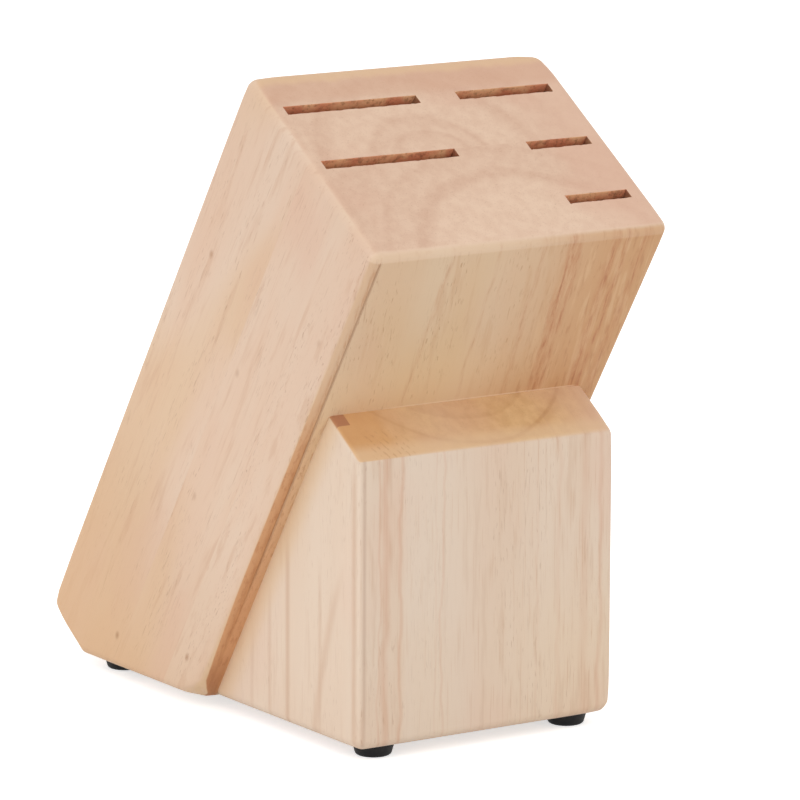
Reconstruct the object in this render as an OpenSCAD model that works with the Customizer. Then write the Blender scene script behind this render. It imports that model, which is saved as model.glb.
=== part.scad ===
// Slant knife block: four grooved boards laminated into a leaning block, propped by a two-board foot
// block at the front, standing on four screwed rubber feet. The front is -Y, and Z = 0 is the table.

/* [Leaning block] */
// Width of the block, side to side
block_w = 110; // [96:1:150]
// Length of the block along its lean, from the top face to the square lower end
block_len = 227.6; // [200:0.2:260]
// Lean of the block forward from upright, in degrees
lean = 33; // [28:1:38]
// Depth of the square lower end that the base cut leaves at the back
heel = 24; // [18:1:28]
// Radius of the rounded outer edges of block and prop
edge_r = 3; // [1:0.1:5]

/* [Boards of the block] */
// Thickness of the back board
back_t = 15.7; // [10:0.1:20]
// Thickness of each of the two middle boards
middle_t = 25.7; // [22:0.1:32]
// Thickness of the front board
front_t = 18.1; // [17:0.1:26]

/* [Knife slots] */
// Thickness of every slot, which is the depth of its groove
slot_t = 3.6; // [3:0.1:5]
// Width of the two wide slots at the left
wide_slot_w = 48.6; // [40:0.2:52]
// Width of the carving slot at the back right
carving_slot_w = 35.2; // [28:0.2:40]
// Width of the two narrow slots at the right
narrow_slot_w = 23; // [18:0.2:32]
// Wood between the left side and the wide slots
left_land = 4.9; // [3:0.1:6]
// Wood between the right side and the other slots
right_land = 6.5; // [3:0.1:8]

/* [Prop] */
// Setback of the prop from each side of the block
prop_inset = 7.2; // [0:0.1:12]
// Reach of the prop in front of the lower edge of the block
prop_reach = 84; // [70:1:95]
// Height of the upright front face of the prop
prop_front_h = 91; // [75:1:100]
// Depth of the front board of the prop, from its front face to the glue line
prop_board_t = 42; // [32:1:48]

/* [Dowels] */
// Diameter of the dowels that join prop and block
dowel_d = 8; // [6:0.5:10]
// Depth of each dowel in the block
dowel_in_block = 11; // [8:0.5:12]
// Depth of each dowel in the prop
dowel_in_prop = 18; // [10:0.5:22]
// Distance between the two dowels
dowel_spacing = 48; // [30:1:64]
// Distance of the dowels below the top of the glued face of the prop
dowel_drop = 37; // [20:1:42]
// Glue gap round a dowel and past its ends
dowel_gap = 0.1; // [0.05:0.01:0.2]
// Number of flutes that let the glue out
dowel_flutes = 12; // [6:1:16]

/* [Feet] */
// Diameter of a foot where it meets the wood
foot_d = 13.4; // [11:0.1:16]
// Height of a foot
foot_h = 4; // [3.6:0.1:6]
// Draft of the side of a foot, in degrees
foot_draft = 16; // [0:1:18]
// Radius of the lower edge of a foot
foot_edge_r = 1.3; // [0.5:0.1:1.8]
// Distance of each foot's centre from the nearest side of the wood
foot_side_inset = 11.4; // [9:0.1:16]
// Distance of each foot's centre from the front or back edge of the underside
foot_end_inset = 9.4; // [9:0.1:16]

/* [Foot screws] */
// Diameter of the screw shank
screw_d = 3; // [2.5:0.1:3.5]
// Length of the screw below its head
screw_len = 12; // [8:0.5:16]
// Diameter of the screw head
head_d = 5.4; // [4.8:0.1:5.5]
// Height of the screw head
head_h = 1.5; // [1:0.1:1.8]
// Outer diameter of the washer in the foot
washer_d = 6; // [5.6:0.1:6.6]
// Thickness of the washer
washer_t = 0.6; // [0.4:0.1:0.8]
// Clearance round the washer in the foot
washer_gap = 0.05; // [0.02:0.01:0.1]
// Height of the screw head above the table
head_lift = 0.5; // [0.2:0.1:1]
// Clearance round the screw in wood, rubber and washer
screw_gap = 0.05; // [0.02:0.01:0.15]

/* [Hidden] */
$fn = 96;

rubberwood = [0.88, 0.76, 0.64];
rubberwood_prop = [0.90, 0.79, 0.67];
beech = [0.82, 0.66, 0.48];
rubber = [0.07, 0.07, 0.07];
zinc = [0.75, 0.76, 0.78];

past = 5;                                     // how far a cutter runs past what it cuts
crossing = 0.005;                             // how far a rounding stands proud, to cross its faces
block_t = back_t + 2 * middle_t + front_t;    // thickness of the block, front face to back face
end_z = -(block_t - heel) * tan(lean);        // square lower end, measured along the lean
top_z = end_z + block_len;                    // top face, measured along the lean

// Unit vectors of the lean in [y, z]: up the grain, and square to it towards the back
grain = [-sin(lean), cos(lean)];
square_back = [cos(lean), sin(lean)];

// Outlines run clockwise as seen from the right. The block's is in its own lean frame, where z runs
// up the grain. The prop's is in the frame of the base, and its top is square to the block's front.
block_outline = [[0, 0], [0, top_z], [block_t, top_z], [block_t, end_z], [block_t - heel, end_z]];
prop_top_s = prop_reach * sin(lean) + prop_front_h * cos(lean);
prop_outline = [[-prop_reach, 0], [-prop_reach, prop_front_h], prop_top_s * grain, [0, 0]];
prop_w = block_w - 2 * prop_inset;
prop_joint_y = -prop_reach + prop_board_t;    // glue line between the two boards of the prop

// The block's foremost and rearmost points, so that the origin is midway between them
front_y = top_z * grain[0];
rear_y = block_t * square_back[0] + end_z * grain[0];
mid_y = (front_y + rear_y) / 2;

dowel_s = prop_top_s - dowel_drop;
dowel_len = dowel_in_block + dowel_in_prop;
dowel_chamfer = 1;
flute_d = 0.8;

heel_y = (block_t - heel) / cos(lean);        // back edge of the underside
rear_foot = [block_w / 2 - foot_side_inset, heel_y - foot_end_inset];
front_foot = [prop_w / 2 - foot_side_inset, -prop_reach + foot_end_inset];

head_recess_d = washer_d + 2 * washer_gap;    // bore of the foot that takes washer and head
washer_z = head_lift + head_h;                // underside of the washer above the table
recess_floor = washer_z + washer_t;
screw_tip_z = washer_z + screw_len;
screw_point = 2.5;                            // length of the pointed tip
cross_w = 0.8;                                // width of each arm of the cross recess of the screw
cross_len = 2.8;
cross_depth = 0.8;

function unit(v) = v / norm(v);

// Puts [y, z] geometry drawn in the XY plane upright, with the given width across X
module across(w) {
    rotate([90, 0, 90]) linear_extrude(w, center = true) children();
}

// Moves things from the frame of the base, whose origin is the block's lower front edge, to the table
module on_feet() {
    translate([0, -mid_y, foot_h]) children();
}

// Moves things from the lean frame of the block to the table
module leaning() {
    on_feet() rotate([lean, 0, 0]) children();
}

// What is cut away, in 2D, to round the corner b between a and c of an outline
module corner_waste(a, b, c, r) {
    to_a = unit(a - b);
    to_c = unit(c - b);
    half = acos(to_a * to_c) / 2;
    reach = r / tan(half);
    centre = b + unit(to_a + to_c) * r / sin(half);
    out = unit(b - centre) * past;
    difference() {
        polygon([centre, b + to_a * reach, b + to_a * reach + out, b + out,
                 b + to_c * reach + out, b + to_c * reach]);
        translate(centre) circle(r + crossing);
    }
}

// What is cut away to round the edge from a to b of a clockwise outline, at the side face x = w / 2
module side_waste(a, b, w, r) {
    along = unit(b - a);
    run = norm(b - a) + 2 * past;
    translate([w / 2 - r, a[0], a[1]]) rotate([atan2(along[1], along[0]) - 90, 0, 0])
        translate([0, 0, -past]) linear_extrude(run) difference() {
            translate([0, -past]) square([r + past, r + past]);
            translate([0, r]) circle(r + crossing);
        }
}

// A prism of a clockwise outline, with the listed corners and the edges after the listed points rounded
module rounded_prism(outline, w, corners, edges, r) {
    n = len(outline);
    difference() {
        across(w) polygon(outline);
        for (i = corners)
            across(w + 2 * past)
                corner_waste(outline[(i + n - 1) % n], outline[i], outline[(i + 1) % n], r);
        for (i = edges, m = [0, 1])
            mirror([m, 0, 0]) side_waste(outline[i], outline[(i + 1) % n], w, r);
    }
}

// A slice of the block between two depths behind its front face
module block_slice(from, to) {
    intersection() {
        rounded_prism(block_outline, block_w, [0 : 4], [0 : 4], edge_r);
        translate([-block_w / 2 - past, from, end_z - past])
            cube([block_w + 2 * past, to - from, block_len + 2 * past]);
    }
}

// A groove in the back face of a board, open at both ends of the board
module groove(x_left, w, back_face) {
    translate([x_left, back_face - slot_t, end_z - past])
        cube([w, slot_t + past, block_len + 2 * past]);
}

module left_groove(w, back_face) {
    groove(-block_w / 2 + left_land, w, back_face);
}

module right_groove(w, back_face) {
    groove(block_w / 2 - right_land - w, w, back_face);
}

// Pilot holes for the screws of a pair of feet, in the frame of the base
module pilot_holes(foot) {
    for (side = [-1, 1])
        translate([side * foot[0], foot[1], -past])
            cylinder(h = screw_tip_z - foot_h + past + screw_gap, d = screw_d + 2 * screw_gap);
}

// Sockets of the two dowels, in the lean frame
module dowel_sockets() {
    for (side = [-1, 1])
        translate([side * dowel_spacing / 2, -dowel_in_prop - dowel_gap, dowel_s]) rotate([-90, 0, 0])
            cylinder(h = dowel_len + 2 * dowel_gap, d = dowel_d + 2 * dowel_gap);
}

module back_board() {
    color(rubberwood) leaning() block_slice(block_t - back_t, block_t + past);
}

module rear_middle_board() {
    back_face = front_t + 2 * middle_t;
    color(rubberwood) difference() {
        leaning() difference() {
            block_slice(front_t + middle_t, back_face);
            left_groove(wide_slot_w, back_face);
            right_groove(carving_slot_w, back_face);
        }
        on_feet() pilot_holes(rear_foot);
    }
}

module front_middle_board() {
    back_face = front_t + middle_t;
    color(rubberwood) leaning() difference() {
        block_slice(front_t, back_face);
        left_groove(wide_slot_w, back_face);
        right_groove(narrow_slot_w, back_face);
    }
}

module front_board() {
    color(rubberwood) leaning() difference() {
        block_slice(-past, front_t);
        right_groove(narrow_slot_w, front_t);
        dowel_sockets();
    }
}

// A slice of the drilled prop between two depths
module prop_slice(from, to) {
    intersection() {
        difference() {
            rounded_prism(prop_outline, prop_w, [0, 1], [0, 1, 3], edge_r);
            rotate([lean, 0, 0]) dowel_sockets();
            pilot_holes(front_foot);
        }
        translate([-block_w / 2, from, -past]) cube([block_w, to - from, 2 * prop_front_h]);
    }
}

module prop_rear_board() {
    color(rubberwood_prop) on_feet() prop_slice(prop_joint_y, 0);
}

module prop_front_board() {
    color(rubberwood_prop) on_feet() prop_slice(-prop_reach, prop_joint_y);
}

// Fluted dowel with chamfered ends
module dowel(side) {
    r = dowel_d / 2;
    color(beech) leaning() translate([side * dowel_spacing / 2, -dowel_in_prop, dowel_s])
        rotate([-90, 0, 0]) difference() {
            rotate_extrude() polygon([[0, 0], [r - dowel_chamfer, 0], [r, dowel_chamfer],
                [r, dowel_len - dowel_chamfer], [r - dowel_chamfer, dowel_len], [0, dowel_len]]);
            for (i = [0 : dowel_flutes - 1])
                rotate([0, 0, i * 360 / dowel_flutes]) translate([r, 0, -past])
                    cylinder(h = dowel_len + 2 * past, d = flute_d, $fn = 24);
        }
}

// Places a piece of a foot at the left (-1) or right (1) of a pair
module at_foot(foot, side) {
    translate([side * foot[0], foot[1] - mid_y, 0]) children();
}

module foot_body() {
    r_top = foot_d / 2;
    r_base = r_top - foot_h * tan(foot_draft);
    color(rubber) difference() {
        rotate_extrude() difference() {
            polygon([[0, 0], [r_base, 0], [r_top, foot_h], [0, foot_h]]);
            corner_waste([0, 0], [r_base, 0], [r_top, foot_h], foot_edge_r);
        }
        translate([0, 0, -past]) cylinder(h = recess_floor + past, d = head_recess_d);
        translate([0, 0, -past]) cylinder(h = foot_h + 2 * past, d = screw_d + 2 * screw_gap);
    }
}

module washer() {
    color(zinc) translate([0, 0, washer_z]) difference() {
        cylinder(h = washer_t, d = washer_d);
        translate([0, 0, -past]) cylinder(h = washer_t + 2 * past, d = screw_d + 2 * screw_gap);
    }
}

// Pan-head screw, point up, with a cross recess
module screw() {
    r = screw_d / 2;
    crown = head_h / 2;
    color(zinc) difference() {
        rotate_extrude() polygon([[0, head_lift], [head_d / 2 - crown, head_lift],
            [head_d / 2, head_lift + crown], [head_d / 2, washer_z], [r, washer_z],
            [r, screw_tip_z - screw_point], [0, screw_tip_z]]);
        for (turn = [0, 90])
            rotate([0, 0, turn]) translate([-cross_len / 2, -cross_w / 2, head_lift - past])
                cube([cross_len, cross_w, cross_depth + past]);
    }
}

back_board();
rear_middle_board();
front_middle_board();
front_board();
prop_rear_board();
prop_front_board();
dowel(-1);  // left_dowel
dowel(1);  // right_dowel
at_foot(front_foot, -1) foot_body();  // front_left_foot
at_foot(front_foot, 1) foot_body();  // front_right_foot
at_foot(rear_foot, -1) foot_body();  // rear_left_foot
at_foot(rear_foot, 1) foot_body();  // rear_right_foot
at_foot(front_foot, -1) washer();  // front_left_washer
at_foot(front_foot, 1) washer();  // front_right_washer
at_foot(rear_foot, -1) washer();  // rear_left_washer
at_foot(rear_foot, 1) washer();  // rear_right_washer
at_foot(front_foot, -1) screw();  // front_left_screw
at_foot(front_foot, 1) screw();  // front_right_screw
at_foot(rear_foot, -1) screw();  // rear_left_screw
at_foot(rear_foot, 1) screw();  // rear_right_screw
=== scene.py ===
"""Looks of the knife block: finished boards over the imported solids, their materials, light and camera."""
import math

import bmesh
import bpy
import numpy as np
from mathutils import Matrix, Vector


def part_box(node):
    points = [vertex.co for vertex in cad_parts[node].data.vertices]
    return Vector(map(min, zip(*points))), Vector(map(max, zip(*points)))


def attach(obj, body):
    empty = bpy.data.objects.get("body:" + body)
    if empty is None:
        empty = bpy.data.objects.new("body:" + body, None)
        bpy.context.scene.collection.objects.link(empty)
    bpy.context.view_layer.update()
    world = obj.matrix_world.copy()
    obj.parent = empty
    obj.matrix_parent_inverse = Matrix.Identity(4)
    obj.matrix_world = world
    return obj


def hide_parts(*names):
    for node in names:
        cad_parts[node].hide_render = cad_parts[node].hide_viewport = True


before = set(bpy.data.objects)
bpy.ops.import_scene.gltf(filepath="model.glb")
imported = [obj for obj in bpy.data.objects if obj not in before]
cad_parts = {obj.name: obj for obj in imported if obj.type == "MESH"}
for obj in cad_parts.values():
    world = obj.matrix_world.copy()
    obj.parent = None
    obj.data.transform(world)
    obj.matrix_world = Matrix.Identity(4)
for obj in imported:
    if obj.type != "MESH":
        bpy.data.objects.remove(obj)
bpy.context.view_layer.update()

MM = 0.001
TINY = 1e-6  # mm: closer than this is the same place
MERGE = 1e-6  # m: corners of a finished mesh this close are joined

# ---------------- the block's own frame, in mm
LEAN = math.radians(33.0)
ACROSS = np.array([math.cos(LEAN), math.sin(LEAN)])  # [y, z] square to the lean, towards the back
GRAIN = np.array([-math.sin(LEAN), math.cos(LEAN)])  # [y, z] up the lean


def cad_points(node):
    """All corners of a CAD node's mesh, in mm."""
    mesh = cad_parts[node].data
    return np.array([corner.co[:] for corner in mesh.vertices]) / MM


FRONT_POINTS = cad_points("front_board")
BASE_Z = FRONT_POINTS[:, 2].min()
BASE_Y = (FRONT_POINTS[:, 1:] @ ACROSS - BASE_Z * ACROSS[1]).min() / ACROSS[0]
BASE = np.array([BASE_Y, BASE_Z])  # the block's lower front edge


def lean_range(node):
    """Lowest and highest (depth, height up the grain) of a CAD node, in mm."""
    points = cad_points(node)[:, 1:] - BASE
    flat = np.stack([points @ ACROSS, points @ GRAIN], axis=1)
    return flat.min(0), flat.max(0)


BOARDS = ("front_board", "front_middle_board", "rear_middle_board", "back_board")
DEPTHS = {name: (lean_range(name)[0][0], lean_range(name)[1][0]) for name in BOARDS}
TOP_S = lean_range("back_board")[1][1]
END_S = lean_range("back_board")[0][1]
BLOCK_T = DEPTHS["back_board"][1]
HALF_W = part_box("back_board")[1].x / MM
KNEE = -END_S / math.tan(LEAN)  # depth where the underside meets the lower end
PROP_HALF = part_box("prop_front_board")[1].x / MM
PROP_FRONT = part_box("prop_front_board")[0].y / MM - BASE_Y
PROP_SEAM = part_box("prop_front_board")[1].y / MM - BASE_Y
JOINT_S = lean_range("prop_front_board")[1][1]  # where the prop's top meets the block
JOINT = JOINT_S * GRAIN  # the same in the frame of the base
PROP_FRONT_H = JOINT[1] - (JOINT[0] - PROP_FRONT) * math.tan(LEAN)

SLOT_T = 3.6
# left and right side of each kind of slot, as x
WIDE = (-50.1, -1.5)
CARVING = (13.3, 48.5)
NARROW = (25.5, 48.5)
SLOTS = {"front_board": (NARROW,), "front_middle_board": (WIDE, NARROW),
         "rear_middle_board": (WIDE, CARVING), "back_board": ()}

EDGE_R = 3.0  # rounding of the outer edges
CRISP_R = 1.4  # rounding of the prop's upper left edges
CRISP_X = (30.0, 40.0)  # they turn crisp leftwards from this x, over this far
CRISP_Z = (6.0, 14.0)  # and upwards from this height, over this far
CORNER_REACH = 11.0  # how far along an edge a corner's rounding fades
MID_ROUND = 0.293  # drop in the middle of a rounding, as a share of its radius
SHARP_ANGLE = math.radians(38)  # edges sharper than this aren't shaded smooth

QUIRK_X = -51.3  # crease beside the left rounding of the front face
CREASE_S = (34.0, 26.0)  # it starts at this height and deepens over this far
CREASE_HALF = 0.22  # half its width
CREASE_DEPTH = 0.28
LEDGE_DEPTH = 0.14  # how far the strip to its left lies back

# wear of the slots' mouths, from and to: of the board with the groove, and of the face that closes it
GROOVE_LIP = (0.2, 0.6)
FACE_LIP = (0.2, 0.55)
GROOVE_SEED = 11
FACE_SEED = 41
LIP_WAVES = ((9.0, 1.0), (4.1, 0.8), (2.3, 0.7), (1.3, 0.5))  # length in mm, and weight

# where the meshes have their grid lines: from each edge, round each slot, at the crease and at the knee
EDGE_LINES = (0.4, 0.82, 1.2, 1.6, 2.03, 2.52, 3.0, 3.4, 4.2, 5.1, 6.2, 7.6)
LIP_LINES = (0.12, 0.3, 0.55, 0.9)
QUIRK_LINES = (-0.6, -0.2, 0.0, 0.2)
KNEE_LINES = (-1.7, -0.9, -0.4, 0.0, 0.4, 0.9, 1.7)
LINE_GAP = 0.05  # a line closer than this to another is left out
SLOT_STEP = 1.1  # widest step of the grid across a slot
BLOCK_STEP = 6.0  # and elsewhere
PROP_STEP = 5.0  # but for the prop's depth
MIDDLE_ROWS = 14  # even rows up the middle of a board, ends included
OUTER_GAP = 0.01  # faces this close to the outside count as outside


def add_object(name, data):
    """A new object in the scene."""
    made = bpy.data.objects.new(name, data)
    bpy.context.scene.collection.objects.link(made)
    return made


# ---------------- meshes of the boards
def lines(low, high, marks, step):
    """Grid lines from low to high: the marks, and others so that none are further apart than step."""
    kept = [low, high]
    for mark in marks:
        if low < mark < high and min(abs(mark - k) for k in kept) > LINE_GAP:
            kept.append(mark)
    kept.sort()
    out = []
    for a, b in zip(kept, kept[1:]):
        count = max(1, math.ceil((b - a) / step((a + b) / 2)))
        out += [a + (b - a) * k / count for k in range(count)]
    return np.array(out + [high])


def rows(bottom, top, near):
    """Heights up the grain for each depth: fine at both ends, even between."""
    near = np.array((0.0,) + near)
    height = (top - bottom)[:, None]
    scale = np.minimum(1.0, height / (3.0 * near[-1]))
    low = bottom[:, None] + near * scale
    high = top[:, None] - near[::-1] * scale
    share = np.linspace(0, 1, MIDDLE_ROWS)[None, 1:-1]
    middle = low[:, -1:] + (high[:, :1] - low[:, -1:]) * share
    return np.concatenate([low, middle, high], axis=1)


def skin(solid, count):
    """Quads round the solid columns of a grid. Kinds: 0 at the ends, 1 square to x, 2 square to depth."""
    nx, nq = solid.shape
    padded = np.zeros((nx + 2, nq + 2), bool)
    padded[1:-1, 1:-1] = solid

    def vid(i, j, k):
        return (i * (nq + 1) + j) * count + k

    quads, kinds = [], []
    for i in range(nx + 1):
        for j in range(nq + 1):
            here = padded[i + 1, j + 1]
            for k in range(count - 1):
                left = padded[i, j + 1]
                if j < nq and here != left:
                    quad = [vid(i, j, k), vid(i, j + 1, k), vid(i, j + 1, k + 1), vid(i, j, k + 1)]
                    quads.append(quad if left else quad[::-1])
                    kinds.append(1)
                below = padded[i + 1, j]
                if i < nx and here != below:
                    quad = [vid(i, j, k), vid(i, j, k + 1), vid(i + 1, j, k + 1), vid(i + 1, j, k)]
                    quads.append(quad if below else quad[::-1])
                    kinds.append(2)
            if i < nx and j < nq and here:
                for k in (0, count - 1):
                    quad = [vid(i, j, k), vid(i + 1, j, k), vid(i + 1, j + 1, k), vid(i, j + 1, k)]
                    quads.append(quad if k else quad[::-1])
                    kinds.append(0)
    return quads, kinds


def inner_points(flat, planes, radius):
    """Nearest point to each one in the region that lies its radius inside all the planes."""
    normals = np.array([plane[0] for plane in planes])
    limits = np.array([plane[1] for plane in planes])[None, :] - radius[:, None]
    tries = [flat]
    for k, normal in enumerate(normals):
        over = np.maximum(flat @ normal - limits[:, k], 0)
        tries.append(flat - over[:, None] * normal)
        for m in range(k):
            pair = np.array([normal, normals[m]])
            if abs(np.linalg.det(pair)) > TINY:
                tries.append(np.stack([limits[:, k], limits[:, m]], axis=1) @ np.linalg.inv(pair).T)
    best = flat.copy()
    least = np.full(len(flat), np.inf)
    for candidate in tries:
        inside = ((candidate @ normals.T) <= limits + TINY).all(axis=1)
        away = np.where(inside, np.linalg.norm(candidate - flat, axis=1), np.inf)
        nearer = away < least
        best[nearer] = candidate[nearer]
        least[nearer] = away[nearer]
    return best


def round_off(points, radius, planes, half, corners):
    """Rounds the edges of the planes and the two sides by each point's radius, and the corners by theirs."""
    radius = radius.copy()
    for depth, height, left_r, right_r in corners:
        for side, corner_r in ((-half, left_r), (half, right_r)):
            away = np.linalg.norm(points - (side, depth, height), axis=1)
            near = np.clip(1 - away / CORNER_REACH, 0, 1)
            radius += (corner_r - EDGE_R) * near * near * (3 - 2 * near)
    flat = points[:, 1:]
    under = np.min([limit - flat @ np.array(normal) for normal, limit in planes], axis=0)
    under = np.minimum(under, half - np.abs(points[:, 0]))
    core = np.empty_like(points)
    core[:, 0] = np.clip(points[:, 0], radius - half, half - radius)
    core[:, 1:] = inner_points(flat, planes, radius)
    out = points - core
    length = np.linalg.norm(out, axis=1)
    move = (length > TINY) & (under < radius)
    scale = np.ones(len(points))
    scale[move] = (radius - under)[move] / length[move]
    return core + out * scale[:, None]


def ragged(x, seed, low, high):
    """A radius that wanders between low and high along x, the same on every run."""
    rng = np.random.default_rng(seed)
    total = np.zeros_like(x)
    for wave, weight in LIP_WAVES:
        total += weight * np.sin(x * 2 * math.pi / wave + rng.uniform(0, 2 * math.pi))
    share = np.clip(0.5 + total / 4.0, 0, 1)
    return low + (high - low) * share ** 2


def arc_drop(distance, radius):
    """How far a rounding of that radius falls away at a distance from the edge."""
    near = np.clip(radius - distance, 0, None)
    full = radius - np.sqrt(np.maximum(radius ** 2 - near ** 2, 0))
    return np.where(distance < TINY, MID_ROUND * radius, full)


def soften_slots(points, name):
    """Wears the mouths of the slots: this board's own grooves, and the board in front's at its front face."""
    q_low, q_high = DEPTHS[name]
    x, q, s = points.T.copy()
    depth = TOP_S - s
    moved = points.copy()
    floor_q = q_high - SLOT_T
    for number, (x0, x1) in enumerate(SLOTS[name]):
        lip = ragged(x, GROOVE_SEED + number + len(name), *GROOVE_LIP)
        dx = np.maximum(np.maximum(x0 - x, x - x1), 0)
        dq = np.maximum(floor_q - q, 0)
        away = np.hypot(dx, dq)
        on_top = (depth < TINY) & (away < lip)
        moved[on_top, 2] -= arc_drop(away, lip)[on_top]
        on_floor = (abs(q - floor_q) < TINY) & (x > x0 - TINY) & (x < x1 + TINY) & (depth < lip)
        moved[on_floor, 1] -= arc_drop(depth, lip)[on_floor]
        for wall, way in ((x0, -1), (x1, 1)):
            on_wall = (abs(x - wall) < TINY) & (q > floor_q - TINY) & (depth < lip)
            moved[on_wall, 0] += way * arc_drop(depth, lip)[on_wall]
    ahead = BOARDS[BOARDS.index(name) - 1] if name != "front_board" else None
    for number, (x0, x1) in enumerate(SLOTS.get(ahead, ())):
        lip = ragged(x, FACE_SEED + number + len(name), *FACE_LIP)
        inside = (x > x0 - TINY) & (x < x1 + TINY)
        on_top = inside & (depth < TINY) & (q - q_low < lip)
        moved[on_top, 2] -= arc_drop(q - q_low, lip)[on_top]
        on_face = inside & (abs(q - q_low) < TINY) & (depth < lip)
        moved[on_face, 1] += arc_drop(depth, lip)[on_face]
    return moved


def crease(points):
    """The shallow crease that the rounding tool left beside the left edge of the front face."""
    x, q, s = points.T
    start, over = CREASE_S
    along = np.clip((s - start) / over, 0, 1)
    groove = np.clip(1 - np.abs(x - QUIRK_X) / CREASE_HALF, 0, 1) * CREASE_DEPTH
    ledge = np.where(x < QUIRK_X, LEDGE_DEPTH, 0.0)
    shape = np.maximum(groove, ledge) * along * np.clip(1 - q / EDGE_R, 0, 1)
    moved = points.copy()
    moved[:, 1] += shape
    return moved


def make_object(name, points, quads, kinds, lean):
    """A mesh object from points in mm of a leaning or upright piece, with the second material on kind 1."""
    used = np.unique(np.array(quads))
    renumber = np.full(len(points), -1)
    renumber[used] = np.arange(len(used))
    mesh = bpy.data.meshes.new(name)
    place = Matrix.Translation((0, BASE_Y * MM, BASE_Z * MM)) @ Matrix.Rotation(lean, 4, "X")
    mesh.from_pydata((points[used] * MM).tolist(), [], renumber[np.array(quads)].tolist())
    mesh.transform(place)
    mesh.polygons.foreach_set("material_index", kinds)
    mesh.polygons.foreach_set("use_smooth", [True] * len(mesh.polygons))
    mesh.validate()
    mesh.set_sharp_from_angle(angle=SHARP_ANGLE)
    return add_object(name, mesh)


# outer planes of the leaning block: normal as (depth, height), and distance from the base
BLOCK_PLANES = [((-1.0, 0.0), 0.0), ((0.0, 1.0), TOP_S), ((1.0, 0.0), BLOCK_T), ((0.0, -1.0), -END_S),
                ((-math.sin(LEAN), -math.cos(LEAN)), 0.0)]
# its rounder corners: depth, height, and the radius at the left and at the right
BLOCK_CORNERS = [(0.0, TOP_S, 3.3, 3.4), (BLOCK_T, TOP_S, 3.8, 5.0), (BLOCK_T, END_S, 5.0, 5.0),
                 (0.0, 0.0, 7.5, 7.5)]


def block_marks(name, own, ahead):
    """Where a board of the block needs grid lines across its width and through its depth."""
    q_low, q_high = DEPTHS[name]
    x_marks = [side * (HALF_W - edge) for edge in EDGE_LINES for side in (-1, 1)]
    for x0, x1 in own + ahead:
        x_marks = [x0, x1] + x_marks
        x_marks += [x0 - lip for lip in LIP_LINES] + [x1 + lip for lip in LIP_LINES]
        x_marks += [x0 + lip for lip in LIP_LINES] + [x1 - lip for lip in LIP_LINES]
    if name == "front_board":
        x_marks += [QUIRK_X + line for line in QUIRK_LINES]
    q_marks = []
    if own:
        q_marks += [q_high - SLOT_T] + [q_high - SLOT_T - lip for lip in LIP_LINES]
    if ahead:
        q_marks += [q_low + lip for lip in LIP_LINES]
    if name == "front_board":
        q_marks += [q_low + edge for edge in EDGE_LINES]
    if name == "back_board":
        q_marks += [q_high - edge for edge in EDGE_LINES]
    q_marks += [KNEE + line for line in KNEE_LINES]
    return x_marks, q_marks


def grid_points(xs, depths, heights):
    """All the points of a grid: every x, every depth, and that depth's own heights."""
    count = heights.shape[1]
    across = np.repeat(xs, len(depths) * count)
    through = np.tile(np.repeat(depths, count), len(xs))
    upward = np.tile(heights.reshape(-1), len(xs))
    return np.stack([across, through, upward], axis=1)


def block_board(name):
    """One board of the leaning block, in the lean frame."""
    q_low, q_high = DEPTHS[name]
    own = SLOTS[name]
    ahead = SLOTS[BOARDS[BOARDS.index(name) - 1]] if name != "front_board" else ()
    x_marks, q_marks = block_marks(name, own, ahead)

    def x_step(at):
        return SLOT_STEP if any(x0 < at < x1 for x0, x1 in own + ahead) else BLOCK_STEP

    xs = lines(-HALF_W, HALF_W, x_marks, x_step)
    qs = lines(q_low, q_high, q_marks, lambda at: BLOCK_STEP)
    bottom = np.maximum(-qs * math.tan(LEAN), END_S)
    heights = rows(bottom, np.full(len(qs), TOP_S), tuple(sorted(LIP_LINES + EDGE_LINES)))
    x_mid = (xs[1:] + xs[:-1]) / 2
    q_mid = (qs[1:] + qs[:-1]) / 2
    solid = np.ones((len(x_mid), len(q_mid)), bool)
    for x0, x1 in own:
        in_x = (x_mid > x0) & (x_mid < x1)
        solid[np.ix_(in_x, q_mid > q_high - SLOT_T)] = False
    quads, kinds = skin(solid, heights.shape[1])
    points = grid_points(xs, qs, heights)
    hidden = hidden_faces(points, quads, kinds)
    shaped = soften_slots(points, name)
    shaped = round_off(shaped, np.full(len(shaped), EDGE_R), BLOCK_PLANES, HALF_W, BLOCK_CORNERS)
    if name == "front_board":
        shaped = crease(shaped)
    return make_object("finished_" + name, shaped, quads, hidden, LEAN)


def hidden_faces(points, quads, kinds):
    """1 for the faces inside slots and on glue planes, 0 for the ones on the outside of the block."""
    middle = points[np.array(quads)].mean(axis=1)
    kinds = np.array(kinds)
    inside_x = (kinds == 1) & (np.abs(middle[:, 0]) < HALF_W - OUTER_GAP)
    outer_q = (middle[:, 1] < OUTER_GAP) | (middle[:, 1] > BLOCK_T - OUTER_GAP)
    inside_q = (kinds == 2) & ~outer_q
    return (inside_x | inside_q).astype(int).tolist()


# the prop's outer planes and rounder corners, in the same terms, with depth along y
SLOPE = (-math.sin(LEAN), math.cos(LEAN))
PROP_PLANES = [((-1.0, 0.0), -PROP_FRONT), (SLOPE, JOINT_S), ((0.0, -1.0), 0.0)]
PROP_CORNERS = [(PROP_FRONT, PROP_FRONT_H, 3.0, 3.6), (PROP_FRONT, 0.0, 3.4, 4.1)]


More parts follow.
